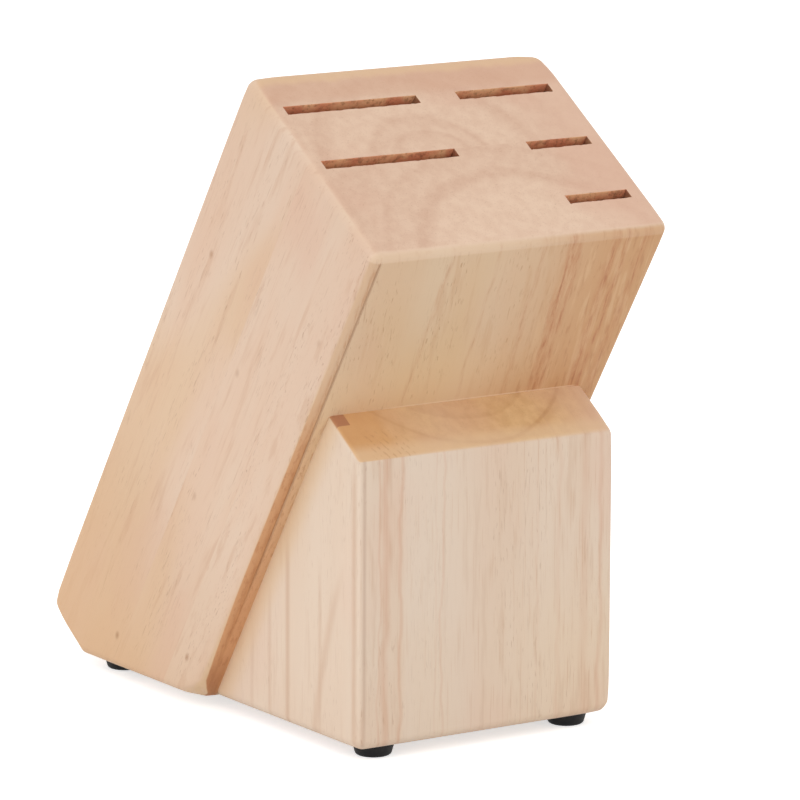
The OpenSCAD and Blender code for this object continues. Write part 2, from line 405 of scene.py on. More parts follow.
def prop_board(name):
    """One board of the prop, in the frame of the base."""
    front = name == "prop_front_board"
    y_low, y_high = (PROP_FRONT, PROP_SEAM) if front else (PROP_SEAM, 0.0)
    x_marks = [side * (PROP_HALF - edge) for edge in EDGE_LINES for side in (-1, 1)]
    y_marks = [JOINT[0]] + [PROP_FRONT + edge for edge in EDGE_LINES]
    y_marks += [-edge for edge in EDGE_LINES]
    xs = lines(-PROP_HALF, PROP_HALF, x_marks, lambda at: BLOCK_STEP)
    ys = lines(y_low, y_high, y_marks, lambda at: PROP_STEP)
    slope_top = PROP_FRONT_H + (ys - PROP_FRONT) * math.tan(LEAN)
    top = np.minimum(slope_top, -ys / math.tan(LEAN))
    heights = rows(np.zeros(len(ys)), top, EDGE_LINES)
    quads = skin(np.ones((len(xs) - 1, len(ys) - 1), bool), heights.shape[1])[0]
    points = grid_points(xs, ys, heights)
    to_left = np.clip((CRISP_X[0] - points[:, 0]) / CRISP_X[1], 0, 1)
    upward = np.clip((points[:, 2] - CRISP_Z[0]) / CRISP_Z[1], 0, 1)
    radius = EDGE_R - (EDGE_R - CRISP_R) * to_left * upward
    shaped = round_off(points, radius, PROP_PLANES, PROP_HALF, PROP_CORNERS)
    piece = make_object("finished_" + name, shaped, quads, [0] * len(quads), 0.0)
    merge_doubles(piece)
    return piece


def merge_doubles(piece):
    """Joins the points that fall together at a board's thin edge."""
    work = bmesh.new()
    work.from_mesh(piece.data)
    bmesh.ops.remove_doubles(work, verts=work.verts, dist=MERGE)
    bmesh.ops.dissolve_degenerate(work, edges=work.edges, dist=MERGE)
    work.to_mesh(piece.data)
    work.free()


# ---------------- materials
def srgb(red, green, blue):
    """A display colour, 0 to 255, as the linear colour that Blender's sockets take."""
    out = []
    for value in (red, green, blue):
        value /= 255
        out.append(value / 12.92 if value <= 0.04045 else ((value + 0.055) / 1.055) ** 2.4)
    return (*out, 1.0)


class Graph:
    """Short names for building one material's nodes."""

    def __init__(self, name):
        self.material = bpy.data.materials.new(name)
        self.material.use_nodes = True
        self.tree = self.material.node_tree
        self.shader = self.tree.nodes["Principled BSDF"]

    def node(self, kind, **settings):
        """A new node with those settings."""
        made = self.tree.nodes.new(kind)
        for key, value in settings.items():
            setattr(made, key, value)
        return made

    def feed(self, socket, value):
        """Links a socket to another one, or sets its value."""
        if isinstance(value, bpy.types.NodeSocket):
            self.tree.links.new(value, socket)
        else:
            socket.default_value = value

    def fed(self, kind, values, **settings):
        """A new node whose first inputs take the values."""
        made = self.node(kind, **settings)
        for socket, value in zip(made.inputs, values):
            self.feed(socket, value)
        return made

    def math(self, operation, first, second=0.0, third=0.0):
        """The result of a Math node."""
        return self.fed("ShaderNodeMath", (first, second, third), operation=operation).outputs[0]

    def minus(self, first, second):
        """The first value less the second."""
        return self.math("SUBTRACT", first, second)

    def added(self, vector, other):
        """The sum of two vectors."""
        return self.fed("ShaderNodeVectorMath", (vector, other), operation="ADD").outputs[0]

    def scaled(self, vector, x, y, z):
        """The vector with each of its parts scaled."""
        return self.fed("ShaderNodeVectorMath", (vector, (x, y, z)), operation="MULTIPLY").outputs[0]

    def point(self, x, y, z):
        """A vector made of three values."""
        return self.fed("ShaderNodeCombineXYZ", (x, y, z)).outputs[0]

    def grain_space(self, lean):
        """Place in mm and direction, x, depth and up the grain, of a piece that leans by that angle."""
        coords = self.node("ShaderNodeTexCoord")
        place = self.node("ShaderNodeMapping", vector_type="TEXTURE")
        place.inputs["Location"].default_value = (0, BASE_Y * MM, BASE_Z * MM)
        place.inputs["Rotation"].default_value = (lean, 0, 0)
        place.inputs["Scale"].default_value = (MM, MM, MM)
        self.feed(place.inputs["Vector"], coords.outputs["Object"])
        way = self.node("ShaderNodeMapping", vector_type="TEXTURE")
        way.inputs["Rotation"].default_value = (lean, 0, 0)
        self.feed(way.inputs["Vector"], coords.outputs["Normal"])
        return place.outputs[0], way.outputs[0]

    def split(self, vector):
        """The three parts of a vector."""
        return self.fed("ShaderNodeSeparateXYZ", (vector,)).outputs

    def noise(self, vector, scale=1.0, detail=2.0, roughness=0.5):
        """Smooth noise, around 0.5."""
        made = self.node("ShaderNodeTexNoise")
        self.feed(made.inputs["Vector"], vector)
        self.feed(made.inputs["Scale"], scale)
        self.feed(made.inputs["Detail"], detail)
        self.feed(made.inputs["Roughness"], roughness)
        return made.outputs["Fac"]

    def window(self, value, low, high, to_low=0.0, to_high=1.0):
        """Goes smoothly from one level to another while the value goes from low to high."""
        made = self.node("ShaderNodeMapRange", interpolation_type="SMOOTHSTEP")
        for key, number in (("Value", value), ("From Min", low), ("From Max", high),
                            ("To Min", to_low), ("To Max", to_high)):
            self.feed(made.inputs[key], number)
        return made.outputs["Result"]

    def mix(self, share, first, second, blend="MIX"):
        """The first colour, with a share of the second."""
        made = self.node("ShaderNodeMix", data_type="RGBA", blend_type=blend)
        self.feed(made.inputs[0], share)
        self.feed(made.inputs[6], first)
        self.feed(made.inputs[7], second)
        return made.outputs[2]

    def tint(self, share, colour, by):
        """The colour, multiplied by another one by that share."""
        return self.mix(share, colour, by, "MULTIPLY")

    def ramp(self, value, stops):
        """The level that belongs to a value from 0 to 1, between stops of position and level."""
        made = self.node("ShaderNodeValToRGB")
        elements = made.color_ramp.elements
        while len(elements) < len(stops):
            elements.new(0.5)
        for element, (position, level) in zip(elements, stops):
            element.position = position
            element.color = (level, level, level, 1)
        self.feed(made.inputs["Fac"], value)
        return made.outputs["Color"]

    def band(self, value, centre, width):
        """1 at the centre, falling smoothly to 0 at the width to either side."""
        off = self.math("ABSOLUTE", self.minus(value, centre))
        return self.window(off, width, 0.0)

    def product(self, *values):
        """All the values multiplied."""
        total = values[0]
        for value in values[1:]:
            total = self.math("MULTIPLY", total, value)
        return total

    def bump(self, height, distance, strength):
        """Relief on the material's shader."""
        made = self.node("ShaderNodeBump")
        made.inputs["Strength"].default_value = strength
        made.inputs["Distance"].default_value = distance
        self.feed(made.inputs["Height"], height)
        self.feed(self.shader.inputs["Normal"], made.outputs["Normal"])

    def surface(self, colour, roughness, specular=0.5, metallic=0.0):
        """Fills the shader, with the last two always as plain values, and returns the material."""
        self.feed(self.shader.inputs["Base Color"], colour)
        self.feed(self.shader.inputs["Roughness"], roughness)
        self.shader.inputs["Specular IOR Level"].default_value = specular
        self.shader.inputs["Metallic"].default_value = metallic
        return self.material


PALE_FIBRE = srgb(236, 214, 192)
END_BLUSH = srgb(216, 168, 144)
PORE = srgb(164, 118, 86)
KNOT = srgb(168, 120, 86)
# side grain: pale, deep, golden, dark and flushed
BLOCK_TONES = (srgb(230, 205, 183), srgb(228, 196, 171), srgb(224, 190, 153), srgb(204, 160, 128),
               srgb(224, 184, 160))
FRONT_SHADE_TINT = (0.93, 0.93, 0.84, 1.0)  # painted shade and warm bounce light: the front face, which faces down, is darker and more golden than the sides
PROP_TONES = (srgb(228, 208, 188), srgb(224, 199, 176), srgb(224, 196, 166), srgb(204, 170, 142),
              srgb(226, 190, 168))
# end grain: light and dark
BLOCK_END = (srgb(233, 203, 178), srgb(212, 174, 149))
# the prop's end grain: partly its own colour, partly painted shade and warm bounce light from under the block
PROP_END_WITH_SHADE = (srgb(235, 200, 150), srgb(201, 155, 108))

# growth rings: (radius in mm, how light), for the log halves that the boards come from
REAR_RINGS = ((0, 0.5), (9, 0.75), (12, 0.45), (14.5, 0.2), (16, 0.65), (19, 0.5), (21, 0.25), (23.5, 0.8),
              (33, 0.8), (38, 0.4), (40, 0.2), (43, 0.65), (50, 0.45), (55, 0.2), (60, 0.7), (80, 0.4))
FRONT_RINGS = ((0, 0.85), (30, 1.0), (41, 0.85), (45, 0.2), (47, 0.3), (49, 0.6), (55, 0.5), (57.5, 0.25),
               (60, 0.6), (66, 0.4), (72, 0.3), (80, 0.6))
PROP_RINGS = ((0, 0.5), (28, 0.6), (34, 0.5), (36.4, 0.25), (37.2, 0.65), (43.5, 0.7), (44.9, 0.45),
              (45.2, 0.0), (45.9, 0.05), (46.3, 0.5), (50, 0.85), (62, 0.6), (68, 0.8), (80, 0.6))
RING_SPAN = 80.0
SEED_STEPS = (37.0, 11.0, 53.0)  # how far apart two seeds lie in the noise


def ring_level(g, x, q, s, v, pith, tilt, rings, sway):
    """How light the growth rings are, round a pith that leans by the tilt, with rings that wander."""
    wander = g.noise(g.scaled(v, 0.035, 0.035, 0.006), detail=2.0)
    wander = g.product(g.minus(wander, 0.5), sway)
    off_x = g.minus(x, g.math("MULTIPLY_ADD", s, tilt[0], pith[0] - tilt[0] * TOP_S))
    off_q = g.minus(q, g.math("MULTIPLY_ADD", s, tilt[1], pith[1] - tilt[1] * TOP_S))
    radius = g.math("SQRT", g.math("ADD", g.product(off_x, off_x), g.product(off_q, off_q)))
    radius = g.math("ADD", radius, wander)
    return g.ramp(g.math("DIVIDE", radius, RING_SPAN), [(r / RING_SPAN, level) for r, level in rings])


def side_grain(g, v, ring, fibre, blush, tones):
    """Colour of the faces along the grain: a mottle with golden and flushed patches, and fibres."""
    pale, deep, gold, dark, flush = tones
    mottle = g.window(g.noise(g.scaled(v, 0.05, 0.05, 0.009), detail=3.0), 0.32, 0.68)
    figure = g.noise(g.scaled(v, 0.3, 0.3, 0.03), detail=3.0, roughness=0.6)
    side = g.mix(g.math("MULTIPLY_ADD", ring, 0.3, g.product(mottle, 0.7)), deep, pale)
    patch = g.window(g.noise(g.scaled(v, 0.02, 0.02, 0.011), detail=1.0), 0.48, 0.68)
    side = g.mix(g.product(patch, 0.6), side, gold)
    side = g.mix(g.product(blush, 0.35), side, flush)
    side = g.mix(g.window(figure, 0.47, 0.3, 0.0, 0.3), side, dark)
    side = g.mix(g.window(fibre, 0.44, 0.25, 0.0, 0.35), side, dark)
    return g.mix(g.window(fibre, 0.56, 0.75, 0.0, 0.3), side, PALE_FIBRE)


def end_grain(g, x, v, ring, blush, tones, flush):
    """Colour of the faces across the grain: rings, clouds and specks, more flushed to the right."""
    light, dark = tones
    cloud = g.noise(g.scaled(v, 0.25, 0.25, 0.02), detail=2.0, roughness=0.6)
    ring_end = g.math("ADD", g.product(ring, 0.68), g.window(cloud, 0.3, 0.7, 0.0, 0.3))
    end = g.mix(ring_end, dark, light)
    end = g.mix(g.product(blush, 0.3), end, END_BLUSH)
    speck = g.noise(g.scaled(v, 2.6, 2.6, 0.4), detail=2.0)
    end = g.mix(g.window(speck, 0.56, 0.78, 0.0, 0.3), end, PORE)
    right = g.product(g.window(x, 20.0, 52.0), 0.6)
    return g.mix(right, end, flush)


def open_pores(g, v, normal):
    """Short and long pores that stand in groups, and fade out towards the end grain."""
    bent = g.noise(g.scaled(v, 0.12, 0.12, 0.03), detail=1.0)
    leaf = g.added(v, g.point(g.product(bent, 2.5), 0.0, 0.0))
    grove = g.window(g.noise(g.scaled(v, 0.11, 0.11, 0.014), detail=2.0), 0.36, 0.66)
    short = g.window(g.noise(g.scaled(leaf, 1.9, 1.9, 0.26), detail=1.0), 0.62, 0.74)
    long = g.window(g.noise(g.scaled(leaf, 1.5, 1.5, 0.09), detail=2.0), 0.6, 0.74)
    pore = g.product(g.math("MAXIMUM", short, g.product(long, 0.8)), grove)
    return g.product(pore, g.window(g.math("ABSOLUTE", normal[2]), 0.55, 0.25))


def wood(name, lean, pith, tilt, rings, sway, side_tones, end_tones, end_from, seed, extras, skew=0.0,
         pore_share=0.45):
    """Pale plantation wood: growth rings round a pith, fibres and pores along the grain.

    Each extra adds its own marks to the colour, some of them painted shade and painted highlights. They all
    take the same values, and use what they need.
    """
    g = Graph(name)
    p, way = g.grain_space(lean)
    x, q, s = g.split(p)
    normal = g.split(way)
    slanted = g.point(g.math("MULTIPLY_ADD", g.minus(s, TOP_S), skew, x), q, s)
    v = g.added(slanted, tuple(seed * step for step in SEED_STEPS))

    ring = ring_level(g, x, q, s, v, pith, tilt, rings, sway)
    fibre = g.noise(g.scaled(v, 1.0, 1.0, 0.03), detail=5.0, roughness=0.65)
    blush = g.window(g.noise(g.scaled(v, 0.031, 0.029, 0.014), detail=2.0), 0.5, 0.7)
    side = side_grain(g, v, ring, fibre, blush, side_tones)
    end = end_grain(g, x, v, ring, blush, end_tones, side_tones[-1])
    downward = g.window(g.product(normal[2], -1.0), 0.97, 0.995)
    end_share = g.math("MAXIMUM", g.window(normal[2], *end_from), downward)
    pore = open_pores(g, v, normal)
    colour = g.mix(g.product(pore, pore_share), g.mix(end_share, side, end), PORE)
    for extra in extras:
        colour = extra(g, colour, x, q, s, normal, fibre, end_share)
    g.bump(g.minus(g.product(fibre, 0.5), pore), 0.00012, 0.35)
    return g.surface(colour, g.window(fibre, 0.3, 0.7, 0.55, 0.65), specular=0.25)


def streak(g, across, up, where, slope, width, sway_seed, fibre):
    """A wavy mark that runs up the grain: across = where + slope * up, broken up by the fibres."""
    path = g.math("MULTIPLY_ADD", up, slope, where)
    sway = g.noise(g.point(sway_seed, 0.0, g.product(up, 0.045)), detail=2.0)
    path = g.math("MULTIPLY_ADD", g.minus(sway, 0.5), 5.0, path)
    off = g.math("ABSOLUTE", g.minus(across, path))
    return g.product(g.window(off, width, 0.0), g.window(fibre, 0.2, 0.6, 1.0, 0.45))


FRONT_LOW = srgb(238, 206, 163)
FRONT_GOLD = srgb(207, 161, 118)
FRONT_DASH = srgb(182, 126, 88)
FRONT_LIGHT = srgb(224, 188, 148)
STREAK = srgb(188, 122, 84)
STREAK_HEART = srgb(150, 96, 66)
STRIP_SHADE = srgb(216, 161, 117)
STRIP_SHADE_HIGH = srgb(216, 182, 150)
STRIP_SHADE_LOW = srgb(206, 152, 108)
STRIP_CORE_SHADE = srgb(186, 130, 90)
STRIP_FOOT_SHADE = srgb(166, 108, 70)
STRIP_ROUGH_SHADE = srgb(176, 116, 76)
CREASE_SHADE = srgb(140, 90, 52)
RIM_HIGHLIGHT = srgb(236, 208, 182)
JOINT_HIGHLIGHT = srgb(244, 216, 184)
FRONT_DRIFT = -0.13  # along the front's marks, x plus this share of the drop is constant: they run right
# where along x at the top, slope, half width and strength
FRONT_STREAKS = ((19.0, 0.13, 3.6, 1.0), (22.5, 0.12, 1.3, 0.8), (35.5, 0.1, 3.0, 0.9),
                 (40.0, 0.08, 1.6, 0.9), (8.5, 0.12, 1.5, 0.5), (-25.0, 0.05, 1.6, 0.35),
                 (-8.0, 0.1, 1.2, 0.35), (47.5, 0.03, 2.6, 0.7))


def front_cast(g, colour, x, s, facing):
    """The front's colour: painted shade makes it darker and more golden than the sides; it is lighter low
    down, deeper to the right.
    """
    # painted shade: the down-facing front darker and warmer than the sides
    colour = g.tint(facing, colour, FRONT_SHADE_TINT)
    low = g.window(s, JOINT_S + 34.0, JOINT_S + 2.0, 0.0, 0.4)
    colour = g.mix(g.product(low, facing), colour, FRONT_LOW)
    golden = g.window(x, -10.0, 42.0, 0.1, 0.95)
    return g.mix(g.product(facing, golden), colour, FRONT_GOLD)


def front_streaks(g, colour, x, s, facing, fibre, drop, drift, grit):
    """Dark and light dashes on the right half, and long reddish streaks that break up."""
    dashes = g.noise(g.point(drift, 0.0, g.product(s, 0.16)), scale=0.62, detail=3.0, roughness=0.6)
    dashes = g.product(g.window(dashes, 0.52, 0.66), facing, g.window(x, 2.0, 30.0), 0.42)
    colour = g.mix(dashes, colour, FRONT_DASH)
    lights = g.noise(g.point(drift, 4.0, g.product(s, 0.1)), scale=0.4, detail=3.0, roughness=0.6)
    lights = g.product(g.window(lights, 0.5, 0.62), facing, g.window(x, 5.0, 30.0), 0.45)
    colour = g.mix(lights, colour, FRONT_LIGHT)
    broken = g.window(grit, 0.4, 0.58, 0.25, 1.0)
    for number, (where, slope, width, strength) in enumerate(FRONT_STREAKS):
        sway_seed = 3.0 + 7.0 * number
        mark = streak(g, x, drop, where, slope, width, sway_seed, fibre)
        colour = g.mix(g.product(mark, facing, broken, strength), colour, STREAK)
        heart = streak(g, x, drop, where, slope, width * 0.4, sway_seed, fibre)
        dark = g.product(heart, facing, g.window(grit, 0.52, 0.66), 0.8 * strength)
        colour = g.mix(dark, colour, STREAK_HEART)
    return colour


def front_strip(g, colour, x, q, s, normal, below_top, grit):
    """Painted shade: the darker front of the block beside the prop, and the darker strip along its left edge.
    """
    sideways = g.product(g.math("ABSOLUTE", normal[0]), g.window(s, 50.0, 0.0, 0.66, 1.2))
    forward = g.minus(g.product(normal[1], -1.0), sideways)
    not_below = g.window(normal[2], -0.8, -0.55)
    turned = g.product(g.window(forward, 0.0, 0.2), not_below, g.window(q, 2.4, 1.9))
    beside = g.window(g.math("ABSOLUTE", x), PROP_HALF - 0.6, PROP_HALF + 0.2)
    # painted shade on the front beside the prop, strongest low down
    shade = g.product(beside, turned, g.window(s, JOINT_S + 10.0, 20.0, 0.0, 0.9))
    colour = g.mix(shade, colour, STRIP_SHADE)
    # painted shade on the strip along the left edge, browner below the joint
    strip = g.product(g.window(x, QUIRK_X + 0.4, QUIRK_X - 0.3), turned, below_top)
    strip_shade_tone = g.mix(g.window(s, JOINT_S + 25.0, JOINT_S - 25.0), STRIP_SHADE_HIGH, STRIP_SHADE_LOW)
    colour = g.mix(g.product(strip, 0.85), colour, strip_shade_tone)
    # painted shade beside the crease, broken up by the grain
    core = g.product(strip, g.band(x, QUIRK_X - 0.9, 1.3), g.window(grit, 0.42, 0.6), 0.5)
    colour = g.mix(core, colour, STRIP_CORE_SHADE)
    # painted shade low down beside the prop
    foot_shade = g.product(turned, g.window(s, 24.0, 4.0), g.window(x, -47.0, -49.0), 0.6)
    colour = g.mix(foot_shade, colour, STRIP_FOOT_SHADE)
    # rough dark marks low beside the prop: partly rough grain, partly painted shade
    rough = g.point(g.product(x, 0.8), 0.0, g.product(s, 0.22))
    rough = g.window(g.noise(rough, detail=4.0, roughness=0.7), 0.5, 0.62)
    low = g.window(s, JOINT_S + 10.0, JOINT_S - 20.0)
    rough = g.product(rough, turned, g.window(x, -46.5, -47.5), low, 0.4)
    return g.mix(rough, colour, STRIP_ROUGH_SHADE)


def front_edges(g, colour, x, s, normal, facing, below_top):
    """Painted shade in the crease, a painted highlight on the pale rim under the top edge and a pale painted
    highlight line above the prop.
    """
    # painted shade in the crease beside the left rounding
    crease_shade = g.product(g.band(x, QUIRK_X, 0.75), facing, below_top, g.window(s, 30.0, 62.0), 0.5)
    colour = g.mix(crease_shade, colour, CREASE_SHADE)
    # painted highlight on the rounded rim under the top edge
    rim_highlight = g.product(g.window(s, TOP_S - 3.6, TOP_S - 2.8), g.window(normal[1], -0.15, -0.5))
    rim_highlight = g.product(rim_highlight, g.window(x, -30.0, 30.0, 0.45, 0.2))
    colour = g.mix(rim_highlight, colour, RIM_HIGHLIGHT)
    # painted highlight line just above the prop's top
    line = g.band(s, JOINT_S + 0.35, 0.4)
    reach = g.product(g.window(x, -30.0, -20.0), g.window(x, PROP_HALF - 2, PROP_HALF - 6))
    return g.mix(g.product(line, reach, facing, 0.7), colour, JOINT_HIGHLIGHT)


def front_extras(g, colour, x, q, s, normal, fibre, end_share):
    """All the marks of the block's front face, painted shade and painted highlights among them."""
    facing = g.window(normal[1], -0.35, -0.8)
    drop = g.minus(TOP_S, s)
    drift = g.math("MULTIPLY_ADD", drop, FRONT_DRIFT, x)
    grit = g.noise(g.point(drift, 0.0, g.product(s, 0.11)), scale=1.1, detail=4.0, roughness=0.7)
    below_top = g.window(s, TOP_S - 2.6, TOP_S - 3.8)
    colour = front_cast(g, colour, x, s, facing)
    colour = front_streaks(g, colour, x, s, facing, fibre, drop, drift, grit)
    colour = front_strip(g, colour, x, q, s, normal, below_top, grit)
    return front_edges(g, colour, x, s, normal, facing, below_top)


LEFT_WARM = srgb(226, 186, 145)
LEFT_LOW_TINT = (0.97, 0.95, 0.92, 1.0)
LEFT_HIGH_TINT = (0.96, 0.95, 0.95, 1.0)
# depth from the rear, distance from the top, and strength of the left face's pin knots
LEFT_KNOTS = ((14.3, 60.7, 0.5), (48.6, 132.9, 0.3), (73.6, 180.3, 0.6), (37.9, 205.3, 0.6),
              (46.4, 82.1, 0.3), (76.7, 42.6, 0.25))


def left_extras(g, colour, x, q, s, normal, fibre, end_share):
    """Marks of the block's left face: a warmer lower rear, a little less light low and high, pin knots."""
    facing = g.window(normal[0], -0.5, -0.9)
    warm = g.window(g.minus(g.product(q, 0.4), s), -20.0, 75.0)
    colour = g.mix(g.product(warm, facing, 0.7), colour, LEFT_WARM)
    low = g.product(g.window(s, 62.0, 22.0), facing)
    colour = g.tint(low, colour, LEFT_LOW_TINT)
    high = g.product(g.window(s, 70.0, 180.0), facing)
    colour = g.tint(high, colour, LEFT_HIGH_TINT)
    for depth, down, strength in LEFT_KNOTS:
        off_q = g.minus(q, BLOCK_T - depth)
        off_s = g.product(g.minus(s, TOP_S - down), 0.7)
        away = g.math("SQRT", g.math("ADD", g.product(off_q, off_q), g.product(off_s, off_s)))
        colour = g.mix(g.product(g.window(away, 1.6, 0.1), facing, strength), colour, KNOT)
    return colour


REAR_PINK = srgb(210, 164, 136)
REAR_GOLD = srgb(228, 194, 154)


def rear_extras(g, colour, x, q, s, normal, fibre, end_share):
    """Marks of the rear boards' top: pinker behind the rear slots, with a yellower band along the edge."""
    behind = g.window(q, BLOCK_T - 17.0, BLOCK_T - 12.0)
    colour = g.mix(g.product(behind, end_share, 0.45), colour, REAR_PINK)
    sway = g.noise(g.point(g.product(x, 0.09), 0.0, 0.0), detail=3.0)
    near_edge = g.math("MULTIPLY_ADD", g.minus(sway, 0.5), 6.0, q)
    band = g.window(near_edge, BLOCK_T - 7.0, BLOCK_T - 3.5)
    return g.mix(g.product(band, end_share, 0.6), colour, REAR_GOLD)


PROP_MILK = srgb(230, 214, 197)
PROP_BAND = srgb(208, 160, 130)
PROP_BLOTCH_TINT = (1.0, 0.96, 0.86, 1.0)
PROP_FINE = srgb(204, 164, 130)
PROP_EDGE_SHADE = srgb(160, 118, 92)
PROP_LEFT_PAINTED_LIGHT = srgb(246, 226, 206)
PROP_LEFT_LINE = srgb(200, 160, 130)
PROP_ARCH = srgb(206, 168, 140)
PROP_AMBER_SHADE = srgb(212, 158, 106)
PROP_BLOCK_SHADE = srgb(226, 192, 148)
PROP_RIM_HIGHLIGHT = srgb(232, 202, 166)
SAW_MARK = srgb(170, 118, 80)
PROP_PATCH = srgb(176, 120, 90)
# the lines of the left side: y, half width, strength and how high they reach
PROP_LEFT_LINES = ((-22.0, 1.8, 0.22, 30.0), (-32.5, 1.7, 0.28, 46.0), (-43.0, 2.1, 0.45, 66.0),
                   (-61.7, 1.6, 0.22, 60.0), (-81.0, 2.4, 0.4, 95.0))
# the bands of the front: distance from the left edge, half width and strength
PROP_FRONT_BANDS = ((9.5, 2.4, 0.7), (14.8, 1.1, 0.7), (7.3, 0.7, 0.5), (30.5, 0.8, 0.4), (28.0, 0.6, 0.2),
                    (66.0, 0.7, 0.2), (74.0, 1.4, 0.3), (84.5, 2.8, 0.4), (90.0, 1.4, 0.5))
PROP_BAND_SLOPE = 0.004


def prop_front_marks(g, colour, x, z, normal, fibre, edge):
    """The prop's front: a milky part, reddish bands, a warm blotch, fine lines and painted shade along the
    rounded left corner.
    """
    facing = g.window(normal[1], -0.35, -0.8)
    milky = g.product(g.window(edge, 14.0, 18.0), g.window(edge, 60.0, 24.0), facing, 0.5)
    colour = g.mix(milky, colour, PROP_MILK)
    for where, width, strength in PROP_FRONT_BANDS:
        mark = streak(g, edge, z, where, PROP_BAND_SLOPE, width, where, fibre)
        colour = g.mix(g.product(mark, facing, strength), colour, PROP_BAND)
    blotch = g.product(g.window(edge, 36.0, 80.0), g.window(z, 62.0, 20.0), facing, 0.5)
    colour = g.tint(blotch, colour, PROP_BLOTCH_TINT)
    fine = g.noise(g.point(g.product(x, 1.5), 0.0, g.product(z, 0.05)), detail=3.0)
    fine = g.product(g.window(fine, 0.56, 0.7), g.window(edge, 20.0, 90.0, 0.2, 0.45), facing)
    colour = g.mix(fine, colour, PROP_FINE)
    # painted shade along the rounded left edge of the front
    edge_shade = g.product(g.band(edge, CRISP_R + 0.4, 1.1), facing, 0.28)
    return g.mix(edge_shade, colour, PROP_EDGE_SHADE)


def prop_left_marks(g, colour, y, z, left):
    """The prop's left side: paler with painted light, with lines up the grain and an arch."""
    # painted light: the left side, which faces the key lamp, paler
    colour = g.mix(g.product(left, 0.3), colour, PROP_LEFT_PAINTED_LIGHT)
    for where, width, strength, reach in PROP_LEFT_LINES:
        line = g.product(g.band(y, where, width), g.window(z, reach, reach - 15.0))
        colour = g.mix(g.product(line, left, strength), colour, PROP_LEFT_LINE)
    bend = g.math("MULTIPLY_ADD", z, -0.16, -58.5)
    bend = g.minus(bend, g.product(g.product(z, z), 0.0022))
    arch = g.band(g.minus(y, bend), 0.0, 3.2)
    arch = g.product(arch, g.window(z, 60.0, 40.0), left, 0.34)
    return g.mix(arch, colour, PROP_ARCH)


def prop_top_marks(g, colour, x, y, edge, end_share):
    """The prop's top: a painted highlight along the front edge, saw marks at the left and a dark patch in the
    corner.
    """
    # painted highlight along the front edge of the prop's top
    front_rim_highlight = g.product(g.window(y, PROP_FRONT + 7.0, PROP_FRONT + 2.5), end_share, 0.6)
    colour = g.mix(front_rim_highlight, colour, PROP_RIM_HIGHLIGHT)
    saw = g.math("SINE", g.math("MULTIPLY_ADD", x, 2.6, g.product(y, 1.1)))
    area = g.product(g.window(edge, 5.0, 9.0), g.window(edge, 24.0, 18.0), g.window(y, -72.0, -76.0))
    nicks = g.window(g.noise(g.point(x, y, 0.0), 0.8, 2.0), 0.45, 0.6)
    saw = g.product(g.window(saw, 0.2, 1.0), area, nicks, end_share, 0.28)
    colour = g.mix(saw, colour, SAW_MARK)
    at_left = g.window(x, 5.4 - PROP_HALF, 5.1 - PROP_HALF)
    patch = g.product(at_left, g.window(y, JOINT[0] - 4.2, JOINT[0] - 3.9), end_share, 0.85)
    return g.mix(patch, colour, PROP_PATCH)


def prop_extras(g, colour, x, y, z, normal, fibre, end_share):
    """All the marks of the prop, with painted shade: amber at the top's left and warmth on its left side by
    the block.
    """
    edge = g.math("ADD", x, PROP_HALF)
    left = g.window(normal[0], -0.5, -0.9)
    colour = prop_front_marks(g, colour, x, z, normal, fibre, edge)
    colour = prop_left_marks(g, colour, y, z, left)
    # painted shade and warm bounce light: amber on the left of the prop's top, under the block
    amber_shade = g.product(g.window(edge, 40.0, 5.0), end_share, 0.7)
    colour = g.mix(amber_shade, colour, PROP_AMBER_SHADE)
    # painted shade: warmer on the prop's left side close to the block's front
    block_shade = g.math("MULTIPLY_ADD", y, math.cos(LEAN), g.product(z, math.sin(LEAN)))
    block_shade = g.product(g.window(block_shade, -11.0, -2.0), left, 0.5)
    colour = g.mix(block_shade, colour, PROP_BLOCK_SHADE)
    return prop_top_marks(g, colour, x, y, edge, end_share)


SLOT_RED = srgb(222, 150, 114)
SLOT_GOLD = srgb(240, 190, 144)
SLOT_DEPTH_SHADE = srgb(178, 106, 76)
SLOT_FIBRE = srgb(150, 92, 64)
SLOT_CHAR = srgb(140, 98, 72)
SLOT_SHADE = srgb(120, 78, 56)


def slot_wood(name):
    """The rough, redder wood inside the slots, with painted shade: deeper further down and darker on the
    right walls.
    """
    g = Graph(name)
    p, way = g.grain_space(LEAN)
    s = g.split(p)[2]
    broad = g.window(g.noise(g.scaled(p, 0.13, 0.2, 0.1), detail=3.0), 0.38, 0.62)
    colour = g.mix(broad, SLOT_RED, SLOT_GOLD)
    # painted shade: darker further down the slot
    deeper_shade = g.window(g.minus(TOP_S, s), 0.6, 5.0, 0.0, 0.4)
    colour = g.mix(deeper_shade, colour, SLOT_DEPTH_SHADE)
    fibre = g.noise(g.scaled(p, 0.7, 0.7, 0.6), detail=4.0, roughness=0.65)
    colour = g.mix(g.window(fibre, 0.5, 0.32, 0.0, 0.55), colour, SLOT_FIBRE)
    char = g.window(g.noise(g.scaled(p, 0.35, 0.2, 0.5), detail=3.0), 0.56, 0.68, 0.0, 0.4)
    colour = g.mix(char, colour, SLOT_CHAR)
    # painted shade on the right walls of the slots
    colour = g.mix(g.window(g.split(way)[0], -0.4, -0.9, 0.0, 0.75), colour, SLOT_SHADE)
    g.bump(fibre, 0.0004, 0.6)
    return g.surface(colour, 0.8, specular=0.2)


